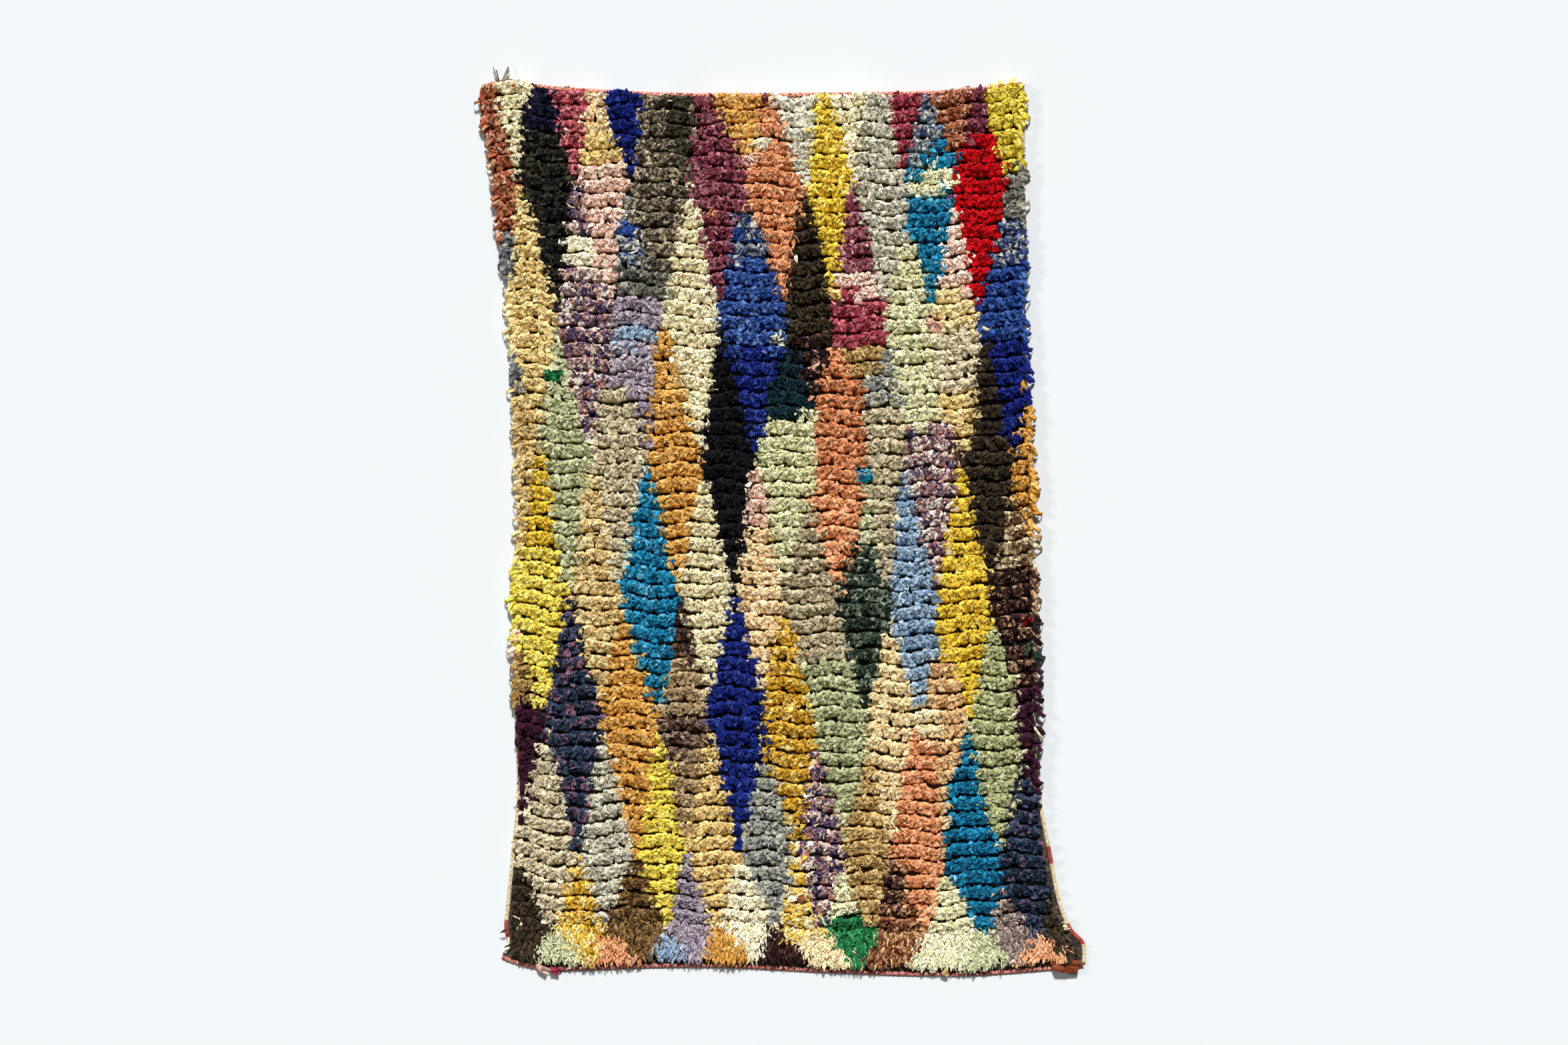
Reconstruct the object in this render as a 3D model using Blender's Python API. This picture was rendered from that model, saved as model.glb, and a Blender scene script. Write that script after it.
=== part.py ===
"""A boucherouite rug: a knotted shag of rag strips on a woven ground, lying flat, face up.

The frame is in metres. The rug lies on z = 0 with its top end towards +Y and its pile upwards.
The pile falls towards -Y, so each row of knots is a ridge that is steep on its -Y side.
"""

import random
from typing import NamedTuple

import bmesh
import bpy
from mathutils import Matrix, Vector

CM = 0.01

# The rug's outline, in centimetres from its middle: where its two sides run at some heights up it,
# where its two ends run at some places across it, and its four corners.


class SideStation(NamedTuple):
    up: float
    left: float
    right: float


class EndStation(NamedTuple):
    across: float
    top: float
    bottom: float


SIDES = (
    SideStation(up=104.0, left=-74.5, right=59.5),
    SideStation(up=96.0, left=-73.1, right=59.3),
    SideStation(up=84.0, left=-71.1, right=59.2),
    SideStation(up=71.0, left=-69.8, right=59.8),
    SideStation(up=55.0, left=-68.0, right=59.3),
    SideStation(up=31.0, left=-66.6, right=60.1),
    SideStation(up=14.5, left=-65.8, right=60.9),
    SideStation(up=0.0, left=-65.4, right=61.2),
    SideStation(up=-15.0, left=-66.7, right=61.5),
    SideStation(up=-31.0, left=-66.4, right=61.9),
    SideStation(up=-52.0, left=-65.8, right=62.0),
    SideStation(up=-65.0, left=-65.4, right=63.1),
    SideStation(up=-79.0, left=-66.7, right=65.7),
    SideStation(up=-91.0, left=-67.9, right=68.0),
    SideStation(up=-98.0, left=-68.5, right=70.7),
    SideStation(up=-102.0, left=-67.8, right=74.0),
)
ENDS = (
    EndStation(across=-68.0, top=110.0, bottom=-106.4),
    EndStation(across=-61.0, top=108.8, bottom=-108.4),
    EndStation(across=-53.0, top=108.0, bottom=-108.9),
    EndStation(across=-32.0, top=106.8, bottom=-108.1),
    EndStation(across=-12.0, top=106.5, bottom=-108.2),
    EndStation(across=12.0, top=106.7, bottom=-109.4),
    EndStation(across=36.0, top=107.1, bottom=-110.2),
    EndStation(across=50.0, top=108.2, bottom=-109.9),
)
TOP_LEFT = (-74.4, 108.4)
TOP_RIGHT = (59.0, 109.4)
BOTTOM_LEFT = (-69.5, -105.0)
BOTTOM_RIGHT = (74.2, -108.0)
CURVE_STEPS = 12           # straight steps between two points of an edge, before it is resampled

ROWS = 60                  # rows of knots from the top end to the bottom end
LUMPS = 28                 # lumps along a row
CREST_AT = 0.65            # how far down its own row a ridge is highest

GROUND_HEIGHT = 0.009      # woven ground with the backs of the knots, under the locks
VALLEY_HEIGHT = 0.014      # pile surface between two rows
CREST_HEIGHT = 0.029       # pile surface on a row
LUMP_HEIGHT = 0.005        # how far a lump may stand above its row or sink below it
LUMP_DRIFT = 0.004         # how far a lump may wander up or down the rug
VALLEY_SHARE = 0.3         # how much of that height a valley takes part in

LOCK_LENGTHS = (0.008, 0.026)
LOCK_TIP = 0.35            # width of a lock's tip as a share of its root
LOCK_FALL = 0.35           # how far a lock falls towards the bottom end, as a share of its length
TOP_ROW_STEPS = 2          # wall faces beside the top end that have no lock

BINDING_WIDTH = 0.012      # selvedge cords and end bands
BINDING_HEIGHT = 0.007
BINDING_SHOULDER = 0.003   # how far each top corner of a binding is rounded in
SEAM_GAP = 0.0003          # between one piece and the next

SEED = 7

PILE_COLOUR = (0.62, 0.53, 0.34, 1.0)
SELVEDGE_COLOUR = (0.80, 0.74, 0.60, 1.0)
END_BAND_COLOUR = (0.55, 0.22, 0.16, 1.0)


def clear_scene():
    for obj in list(bpy.data.objects):
        bpy.data.objects.remove(obj)


def cloth(name, colour):
    """A matt cotton cloth of one colour."""
    material = bpy.data.materials.new(name)
    material.use_nodes = True
    shader = material.node_tree.nodes["Principled BSDF"]
    shader.inputs["Base Color"].default_value = colour
    shader.inputs["Roughness"].default_value = 0.9
    return material


def smooth_curve(points):
    """A Catmull-Rom curve through the points, as closely spaced points in metres."""
    ends = [Vector(p) * CM for p in points]
    padded = [2 * ends[0] - ends[1], *ends, 2 * ends[-1] - ends[-2]]
    path = []
    for a, b, c, d in zip(padded, padded[1:], padded[2:], padded[3:]):
        for step in range(CURVE_STEPS):
            t = step / CURVE_STEPS
            bend = (2 * a - 5 * b + 4 * c - d) * t**2 + (3 * b - a - 3 * c + d) * t**3
            path.append(0.5 * (2 * b + (c - a) * t + bend))
    return [*path, ends[-1]]


def resample(path, shares):
    """Points on the path at these shares of its length."""
    lengths = [0.0]
    for a, b in zip(path, path[1:]):
        lengths.append(lengths[-1] + (b - a).length)
    found = []
    i = 0
    for share in shares:
        wanted = share * lengths[-1]
        while i < len(path) - 2 and lengths[i + 1] < wanted:
            i += 1
        found.append(path[i].lerp(path[i + 1], (wanted - lengths[i]) / (lengths[i + 1] - lengths[i])))
    return found


def outline_of_rug():
    """The closed outline, clockwise from the top left corner, with a point at each row and lump."""
    down = [0.0]
    for row in range(ROWS):
        down += [(row + CREST_AT) / ROWS, (row + 1) / ROWS]
    along = [lump / LUMPS for lump in range(LUMPS + 1)]
    top_edge = [TOP_LEFT, *((end.across, end.top) for end in ENDS), TOP_RIGHT]
    bottom_edge = [BOTTOM_LEFT, *((end.across, end.bottom) for end in ENDS), BOTTOM_RIGHT]
    left_edge = [TOP_LEFT, *((side.left, side.up) for side in SIDES), BOTTOM_LEFT]
    right_edge = [TOP_RIGHT, *((side.right, side.up) for side in SIDES), BOTTOM_RIGHT]
    top = resample(smooth_curve(top_edge), along)
    right = resample(smooth_curve(right_edge), down)
    bottom = resample(smooth_curve(bottom_edge), along)
    left = resample(smooth_curve(left_edge), down)
    return top[:-1] + right[:-1] + bottom[:0:-1] + left[:0:-1]


def inset(outline, distance):
    """The closed outline moved inwards by the same distance all along."""
    moved = []
    for i, point in enumerate(outline):
        before = (point - outline[i - 1]).normalized()
        after = (outline[(i + 1) % len(outline)] - point).normalized()
        inwards = Vector((before.y, -before.x))
        across = (inwards + Vector((after.y, -after.x))).normalized()
        moved.append(point + across * (distance / across.dot(inwards)))
    return moved


def sides_of(outline):
    """The closed outline cut at its corners: top and bottom from the left, right and left from the top."""
    steps = (LUMPS, 2 * ROWS, LUMPS, 2 * ROWS)
    loop = outline + outline[:1]
    sides = []
    start = 0
    for count in steps:
        sides.append(loop[start : start + count + 1])
        start += count
    top, right, bottom, left = sides
    return top, right, bottom[::-1], left[::-1]


def field_point(sides, i, j):
    """The place between the four sides that is i steps along the rug and j steps down it."""
    top, right, bottom, left = sides
    u = i / LUMPS
    v = j / (2 * ROWS)
    across = left[j].lerp(right[j], u)
    down = top[i].lerp(bottom[i], v)
    corners = top[0].lerp(top[-1], u).lerp(bottom[0].lerp(bottom[-1], u), v)
    return across + down - corners


def pile_height(j, dice):
    """Height of the pile at step j down the rug, crest or valley, with a lump of its own."""
    lump = dice.uniform(-LUMP_HEIGHT, LUMP_HEIGHT)
    if j % 2:
        return CREST_HEIGHT + lump
    return VALLEY_HEIGHT + VALLEY_SHARE * lump


def add_object(name, mesh, material):
    bmesh.ops.recalc_face_normals(mesh, faces=mesh.faces)
    data = bpy.data.meshes.new(name)
    mesh.to_mesh(data)
    mesh.free()
    data.materials.append(material)
    obj = bpy.data.objects.new(name, data)
    bpy.context.scene.collection.objects.link(obj)


def centre_over_origin():
    """Moves all the pieces together, so that the middle of their bounding box is over the origin."""
    meshes = [obj.data for obj in bpy.data.objects]
    xs = [v.co.x for mesh in meshes for v in mesh.vertices]
    ys = [v.co.y for mesh in meshes for v in mesh.vertices]
    middle = Vector(((min(xs) + max(xs)) / 2, (min(ys) + max(ys)) / 2, 0.0))
    for mesh in meshes:
        mesh.transform(Matrix.Translation(-middle))


def add_wall(mesh, upper, lower):
    """Joins two closed rings of vertices with one face for each step."""
    faces = []
    for i in range(len(upper)):
        k = (i + 1) % len(upper)
        faces.append(mesh.faces.new((upper[i], upper[k], lower[k], lower[i])))
    return faces


def draw_out_locks(mesh, walls, outwards, dice):
    """Draws each of these wall faces out into a lock that tapers and falls towards the bottom end."""
    for face in bmesh.ops.extrude_discrete_faces(mesh, faces=walls)["faces"]:
        root = face.calc_center_median()
        length = dice.uniform(*LOCK_LENGTHS)
        reach = Vector((outwards * length, -LOCK_FALL * length, 0.0))
        for vertex in face.verts:
            vertex.co = root + (vertex.co - root) * LOCK_TIP + reach


def add_pile_field(name, outline, material):
    """Woven ground and knotted pile in one: a flat-backed slab, a ridge for each row, locks at its sides."""
    dice = random.Random(SEED)
    sides = sides_of(outline)
    last = 2 * ROWS
    mesh = bmesh.new()
    grid = []
    for j in range(last + 1):
        line = []
        for i in range(LUMPS + 1):
            place = field_point(sides, i, j)
            inside = 0 < i < LUMPS and 0 < j < last
            drift = dice.uniform(-LUMP_DRIFT, LUMP_DRIFT) if inside else 0.0
            line.append(mesh.verts.new((place.x, place.y + drift, pile_height(j, dice))))
        grid.append(line)
    for upper, lower in zip(grid, grid[1:]):
        for a, b, c, d in zip(upper, upper[1:], lower[1:], lower):
            mesh.faces.new((a, b, c, d))

    right = [line[-1] for line in grid]
    left = [line[0] for line in grid]
    rim = grid[0][:-1] + right[:-1] + grid[-1][:0:-1] + left[:0:-1]
    ground = [mesh.verts.new((v.co.x, v.co.y, GROUND_HEIGHT)) for v in rim]
    back = [mesh.verts.new((v.co.x, v.co.y, 0.0)) for v in rim]
    walls = add_wall(mesh, rim, ground)
    add_wall(mesh, ground, back)
    mesh.faces.new(back)

    right_walls = walls[LUMPS + TOP_ROW_STEPS : LUMPS + last]
    left_walls = walls[2 * LUMPS + last : len(walls) - TOP_ROW_STEPS]
    draw_out_locks(mesh, right_walls, 1.0, dice)
    draw_out_locks(mesh, left_walls, -1.0, dice)
    add_object(name, mesh, material)


def add_binding(name, outer, inner, material):
    """A flat-backed cord between two lines of points, its top corners rounded in."""
    outer, inner = list(outer), list(inner)
    for line in (outer, inner):
        line[0] += (line[1] - line[0]).normalized() * SEAM_GAP
        line[-1] += (line[-2] - line[-1]).normalized() * SEAM_GAP
    shoulder = BINDING_SHOULDER / BINDING_WIDTH
    mesh = bmesh.new()
    rings = []
    for a, b in zip(outer, inner):
        corners = (
            (a, 0.0),
            (a, BINDING_HEIGHT - BINDING_SHOULDER),
            (a.lerp(b, shoulder), BINDING_HEIGHT),
            (b.lerp(a, shoulder), BINDING_HEIGHT),
            (b, BINDING_HEIGHT - BINDING_SHOULDER),
            (b, 0.0),
        )
        rings.append([mesh.verts.new((p.x, p.y, z)) for p, z in corners])
    for here, there in zip(rings, rings[1:]):
        add_wall(mesh, here, there)
    mesh.faces.new(rings[0])
    mesh.faces.new(rings[-1])
    add_object(name, mesh, material)


def main():
    clear_scene()
    outline = outline_of_rug()
    top, right, bottom, left = sides_of(outline)
    top_in, right_in, bottom_in, left_in = sides_of(inset(outline, BINDING_WIDTH))

    add_pile_field("pile_field", inset(outline, BINDING_WIDTH + SEAM_GAP), cloth("rag_pile", PILE_COLOUR))
    add_binding("selvedge_left", left, left_in, cloth("selvedge_left_yarn", SELVEDGE_COLOUR))
    add_binding("selvedge_right", right, right_in, cloth("selvedge_right_yarn", SELVEDGE_COLOUR))
    add_binding("end_band_top", top, top_in, cloth("end_band_top_yarn", END_BAND_COLOUR))
    add_binding("end_band_bottom", bottom, bottom_in, cloth("end_band_bottom_yarn", END_BAND_COLOUR))
    centre_over_origin()


main()
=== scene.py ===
# %% [markdown]
# A boucherouite is a Moroccan rug whose pile is knotted from strips of worn-out clothes. This
# lesson dresses the plain solids of one such rug: a woven ground, a deep pile of rag strips in a
# lozenge pattern, overcast selvedges at its sides and twined bands at its ends.
# The rug lies on the floor with its pile up. Its top end is towards +Y, and the pile falls
# towards -Y, so each row of knots hides the roots of the next one.

# %% Load the frame
import math

import bmesh
import bpy
import numpy as np
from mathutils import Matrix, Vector


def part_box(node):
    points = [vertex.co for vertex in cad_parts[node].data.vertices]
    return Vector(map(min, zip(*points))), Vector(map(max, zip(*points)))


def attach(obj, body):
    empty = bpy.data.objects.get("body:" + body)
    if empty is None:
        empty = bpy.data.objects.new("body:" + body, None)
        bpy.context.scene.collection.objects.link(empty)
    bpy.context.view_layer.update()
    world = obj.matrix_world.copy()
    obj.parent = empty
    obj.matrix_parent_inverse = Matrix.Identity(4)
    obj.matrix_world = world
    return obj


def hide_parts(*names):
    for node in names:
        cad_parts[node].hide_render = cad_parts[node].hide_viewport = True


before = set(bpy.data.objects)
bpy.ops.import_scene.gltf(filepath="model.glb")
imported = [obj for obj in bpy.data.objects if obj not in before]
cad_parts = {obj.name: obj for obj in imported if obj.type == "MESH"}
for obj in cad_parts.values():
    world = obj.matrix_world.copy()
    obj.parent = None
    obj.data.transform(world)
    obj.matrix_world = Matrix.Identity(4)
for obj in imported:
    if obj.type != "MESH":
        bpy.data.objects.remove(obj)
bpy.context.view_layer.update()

# %% [markdown]
# Real sizes come first. A row of knots is about 36 mm from the next, because that is how far the
# strips fall, and a rag strip is torn 1 to 2 cm wide. The chart further down is drawn in knots and
# rows from the rug's middle line and top end, so these two spacings also scale the pattern.

# %% Sizes
MM = 0.001
CM = 0.01
ROW = 36.0 * MM                # from one row of knots to the next
KNOT = 8.17 * MM               # from one knot to the next along a row
ROWS = 60
RUG_LENGTH = 2.20
RUG_WIDTH = 1.30               # without the flare at its foot
BAND = 12.0 * MM               # width of the selvedges and end bands
BAND_HEIGHT = 7.0 * MM
GROUND = 2.5 * MM              # thickness of the woven ground
CLEAR = 0.4 * MM               # from the floor to the cloth
HIGHEST = 42.0 * MM            # no strip stands higher than this
SHAG_ROWS = 4                  # rows at the bottom end that are finer shag
dice = np.random.default_rng(11)
print("about", round(1 / (ROW * KNOT)), "knots in a square metre")

# %% [markdown]
# The outline is uneven, as a handmade rug's is: the sides lean in towards the middle, the bottom
# end flares, and the top end sags. It is given by where the edges run at a few stations, in
# centimetres from the rug's middle, and a smooth curve joins the stations.

# %% Outline stations
SIDES = (
    # up, left, right
    (104.0, -74.5, 59.5),
    (96.0, -73.1, 59.3),
    (84.0, -71.1, 59.2),
    (71.0, -69.8, 59.8),
    (55.0, -68.0, 59.3),
    (31.0, -66.6, 60.1),
    (14.5, -65.8, 60.9),
    (0.0, -65.4, 61.2),
    (-15.0, -66.7, 61.5),
    (-31.0, -66.4, 61.9),
    (-52.0, -65.8, 62.0),
    (-65.0, -65.4, 63.1),
    (-79.0, -66.7, 65.7),
    (-91.0, -67.9, 68.0),
    (-98.0, -68.5, 70.7),
    (-102.0, -67.8, 74.0),
)
ENDS = (
    # across, top, bottom
    (-68.0, 110.0, -106.4),
    (-61.0, 108.8, -108.4),
    (-53.0, 108.0, -108.9),
    (-32.0, 106.8, -108.1),
    (-12.0, 106.5, -108.2),
    (12.0, 106.7, -109.4),
    (36.0, 107.1, -110.2),
    (50.0, 108.2, -109.9),
)
TOP_LEFT = (-74.4, 108.4)
TOP_RIGHT = (59.0, 109.4)
BOTTOM_LEFT = (-69.5, -105.0)
BOTTOM_RIGHT = (74.2, -108.0)


def smooth_curve(points, steps=12):
    """A Catmull-Rom curve through the points, in metres."""
    ends = np.array(points, float) * CM
    padded = np.vstack([2 * ends[0] - ends[1], ends, 2 * ends[-1] - ends[-2]])
    path = []
    for a, b, c, d in zip(padded, padded[1:], padded[2:], padded[3:]):
        for t in np.arange(steps) / steps:
            bend = (2 * a - 5 * b + 4 * c - d) * t**2 + (3 * b - a - 3 * c + d) * t**3
            path.append(0.5 * (2 * b + (c - a) * t + bend))
    return np.array([*path, ends[-1]])


def at_shares(path, shares):
    """Points on a path at these shares of its length."""
    steps = np.linalg.norm(np.diff(path, axis=0), axis=1)
    along = np.concatenate([[0.0], np.cumsum(steps)]) / steps.sum()
    return np.stack([np.interp(shares, along, path[:, k]) for k in range(path.shape[1])], axis=1)


top_edge = smooth_curve([TOP_LEFT, *((x, top) for x, top, _ in ENDS), TOP_RIGHT])
bottom_edge = smooth_curve([BOTTOM_LEFT, *((x, bottom) for x, _, bottom in ENDS), BOTTOM_RIGHT])
left_edge = smooth_curve([TOP_LEFT, *((left, up) for up, left, _ in SIDES), BOTTOM_LEFT])
right_edge = smooth_curve([TOP_RIGHT, *((right, up) for up, _, right in SIDES), BOTTOM_RIGHT])

# The solids are centred over the origin, so the outline is moved to where their bands lie.
selvedge_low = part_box("selvedge_left")[0]
top_band_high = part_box("end_band_top")[1]
to_frame = np.array([selvedge_low[0] - left_edge[:, 0].min(), top_band_high[1] - top_edge[:, 1].max()])
for edge in (top_edge, bottom_edge, left_edge, right_edge):
    edge += to_frame
print("outline moved by", to_frame)

# %% [markdown]
# The camera looks straight down on the rug, through a long lens, so that its edges stay true. The
# picture is 2352 pixels wide, and the rug's 2.20 m take 1346 of them.

# %% Camera and light
PHOTO_WIDTH = 2352
PHOTO_HEIGHT = 1568
RUG_LENGTH_PIXELS = 1346
RUG_MIDDLE_PIXEL = (1175, 791)
PIXEL = RUG_LENGTH / RUG_LENGTH_PIXELS

LENS = 100.0                   # mm, as the sensor
SENSOR = 36.0
FARTHEST_SEEN = 50.0
LIGHTS = (
    # name, azimuth, elevation and spread in degrees, strength
    ("key_light", 4, 50, 8, 4.8),
    ("side_light", -75, 35, 10, 0.9),
)
LIGHT_DISTANCE = 8.0
SKY_COLOUR = (1.0, 0.98, 0.95, 1.0)
SKY_STRENGTH = 0.10
aim_x = (PHOTO_WIDTH / 2 - RUG_MIDDLE_PIXEL[0]) * PIXEL + to_frame[0]
aim_y = (RUG_MIDDLE_PIXEL[1] - PHOTO_HEIGHT / 2) * PIXEL + to_frame[1]
camera_height = PHOTO_WIDTH * PIXEL * LENS / SENSOR

scene = bpy.context.scene
camera_data = bpy.data.cameras.new("camera")
camera_data.lens = LENS
camera_data.sensor_width = SENSOR
camera_data.clip_end = FARTHEST_SEEN
camera = bpy.data.objects.new("camera", camera_data)
camera.location = (aim_x, aim_y, camera_height)
scene.collection.objects.link(camera)
scene.camera = camera
scene.view_settings.view_transform = "Standard"


def soft_light(name, azimuth, elevation, spread, strength):
    """Even light from a far softbox. Azimuth 0 is the rug's top end, spread the softbox's width."""
    light = bpy.data.lights.new(name, "SUN")
    light.angle = math.radians(spread)
    light.energy = strength
    lamp = bpy.data.objects.new(name, light)
    a = math.radians(azimuth)
    e = math.radians(elevation)
    away = Vector((math.sin(a) * math.cos(e), math.cos(a) * math.cos(e), math.sin(e)))
    lamp.location = away * LIGHT_DISTANCE
    lamp.rotation_euler = (-away).to_track_quat("-Z", "Y").to_euler()
    scene.collection.objects.link(lamp)


for light in LIGHTS:
    soft_light(*light)

world = bpy.data.worlds.new("studio")
scene.world = world
world.use_nodes = True
sky = world.node_tree.nodes["Background"]
sky.inputs["Color"].default_value = SKY_COLOUR
sky.inputs["Strength"].default_value = SKY_STRENGTH
print("camera", round(camera_height, 2), "m above the floor")

# %% [markdown]
# Every material here is built from a few nodes. One function turns the hex colours of a paint
# card into linear light, and one adds a node with its settings and links, so that a material
# reads as a list of what feeds what.

# %% Material helpers


def colour(code):
    """Linear RGBA of an sRGB hex code."""
    channels = [int(code[k : k + 2], 16) / 255 for k in (1, 3, 5)]
    return (*((c / 12.92 if c <= 0.04045 else ((c + 0.055) / 1.055) ** 2.4) for c in channels), 1.0)


def add_node(tree, kind, inputs=None, **settings):
    """Adds a node, sets its properties, and sets or links its inputs."""
    node = tree.nodes.new(kind)
    for name, value in settings.items():
        setattr(node, name, value)
    for name, value in (inputs or {}).items():
        if isinstance(value, bpy.types.NodeSocket):
            tree.links.new(value, node.inputs[name])
        else:
            node.inputs[name].default_value = value
    return node


def new_material(name):
    """An empty material and its Principled shader."""
    material = bpy.data.materials.new(name)
    material.use_nodes = True
    return material, material.node_tree, material.node_tree.nodes["Principled BSDF"]


def fill_ramp(ramp, stops, mode="LINEAR"):
    """Sets a ramp's stops from (position, hex) pairs."""
    ramp.interpolation = mode
    while len(ramp.elements) < len(stops):
        ramp.elements.new(1.0)
    for element, (position, code) in zip(ramp.elements, stops):
        element.position = position
        element.color = colour(code)


# %% [markdown]
# The rags are worn cotton, jersey and some wool: matt, a little fuzzy, each dyed its own colour and
# faded by wear. Each strip carries a number between 0 and 1, its tone, and a ramp turns the tone
# into one of the cloth's shades. A plain cloth has shades close together. A print has light and
# dark ones side by side, because one strip shows the print's ground and the next a flower.

# %% Rag cloths
CLOTHS = {
    # name: (shades from dark to light), spread of tone from strip to strip
    "rust": (("#74341A", "#A85C3C", "#C48864", "#ECD0B4"), 0.42),
    "ivory": (("#DCD0A4", "#F2E8C0", "#FAF2D2", "#FEFAE6"), 0.30),
    "straw": (("#CCAA64", "#EACE8A", "#F2DCA0", "#F8ECBE"), 0.30),
    "navy_black": (("#06061A", "#0F0F28", "#1A1A36", "#30304C"), 0.30),
    "black_olive": (("#07070E", "#12121A", "#28261A", "#4E4A38"), 0.34),
    "raspberry": (("#681426", "#982E40", "#B2505E", "#E09296"), 0.32),
    "peach": (("#DAB07A", "#F2D2A2", "#F8E2B8", "#FCF0D2"), 0.30),
    "ultramarine": (("#080E4C", "#101E70", "#1A2E88", "#4A62AC"), 0.30),
    "royal_blue": (("#182E70", "#2C4E98", "#4A6EB0", "#8CA4CE"), 0.30),
    "blue_print": (("#1E2A58", "#52689A", "#8C9494", "#DAD8CC"), 0.60),
    "taupe_olive": (("#362E26", "#6A5F50", "#94856C", "#CCBCA2"), 0.50),
    "grey": (("#484640", "#6A685E", "#8E8C7E", "#C4C0B0"), 0.36),
    "violet_print": (("#2A244A", "#6E5C7C", "#B87C6C", "#F0E8DA"), 0.60),
    "lilac": (("#8A7C90", "#AEA2AC", "#CABEC6", "#E8E0E4"), 0.30),
    "lilac_mix": (("#6C5A56", "#9E8C84", "#BCAC9E", "#DED2C4"), 0.50),
    "plum": (("#54202E", "#8A3C4C", "#A46472", "#D09C9E"), 0.34),
    "ochre": (("#B07A28", "#DAA24A", "#E8BA6A", "#F6DC9E"), 0.32),
    "coral": (("#B0683E", "#E09A6A", "#EEB082", "#FCCCA0"), 0.34),
    "silver_sage": (("#B6B09C", "#DAD6C2", "#E8E4D0", "#F6F2E4"), 0.34),
    "espresso": (("#1A100A", "#362A1C", "#4A3E2C", "#6A5C4A"), 0.30),
    "mustard": (("#C09A1E", "#E8C43A", "#F2D652", "#FAEC8A"), 0.32),
    "lemon": (("#CEB838", "#ECD858", "#F6E676", "#FCF4A4"), 0.32),
    "gold": (("#B4841C", "#E4B83A", "#EECE64", "#F6ECC0"), 0.48),
    "denim": (("#56708E", "#829EBC", "#A4BACC", "#CCDEE4"), 0.32),
    "turquoise": (("#0C5678", "#147EA4", "#2898C0", "#98D0D4"), 0.32),
    "red": (("#86000A", "#BC000C", "#D80416", "#E82028"), 0.25),
    "pink": (("#CC9E8A", "#EEC6B2", "#F6D6C2", "#FBE8DA"), 0.34),
    "pale_sage": (("#A8AC7C", "#D0D0A0", "#E6E4BA", "#F8F4D2"), 0.34),
    "sage": (("#8E9468", "#B2B68A", "#CACCA2", "#E2E4C0"), 0.36),
    "sand": (("#9A7C46", "#CAAA6E", "#DCC286", "#F2E0AC"), 0.34),
    "stone": (("#9A8C6C", "#C8BA9A", "#DCD0B0", "#F2E8CC"), 0.36),
    "blue_grey": (("#666870", "#9CA09C", "#BABAA8", "#DCD6BC"), 0.40),
    "dark_teal": (("#04121A", "#0C2832", "#143640", "#2C5660"), 0.28),
    "aubergine": (("#1E0816", "#381026", "#4C1C36", "#764058"), 0.28),
    "slate": (("#121A2C", "#283E54", "#465470", "#945E70"), 0.50),
    "olive_brown": (("#402A10", "#74562E", "#A07E52", "#D0AE82"), 0.36),
    "emerald": (("#0A4A24", "#1A6A3C", "#28864E", "#7ABE8C"), 0.28),
    "forest": (("#101E16", "#2E4234", "#62705C", "#C8D0BC"), 0.42),
    "taupe": (("#7C6242", "#AC9068", "#C2AA84", "#DCCAA6"), 0.34),
    "maroon_brown": (("#2E1A12", "#5E4436", "#867060", "#BCA894"), 0.36),
    "cream_peach": (("#D6BA88", "#F0DAA8", "#F8E8BC", "#FCF2D0"), 0.32),
    "brown_mix": (("#521E0A", "#8E5836", "#B48460", "#E8C08C"), 0.55),
    "rust_print": (("#5E3A1E", "#8E6E4C", "#BCA880", "#E6DAB6"), 0.60),
    "dark_multi": (("#1A0A0C", "#32181A", "#54342E", "#C8A07A"), 0.55),
}
SHADE_STOPS = (0.0, 0.35, 0.65, 1.0)


def blotches_of(spread):
    """How far wear shifts the tone within a strip: hardly on plain cloth, much on a print."""
    return 0.08 + 0.5 * max(0.0, spread - 0.2)


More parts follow.
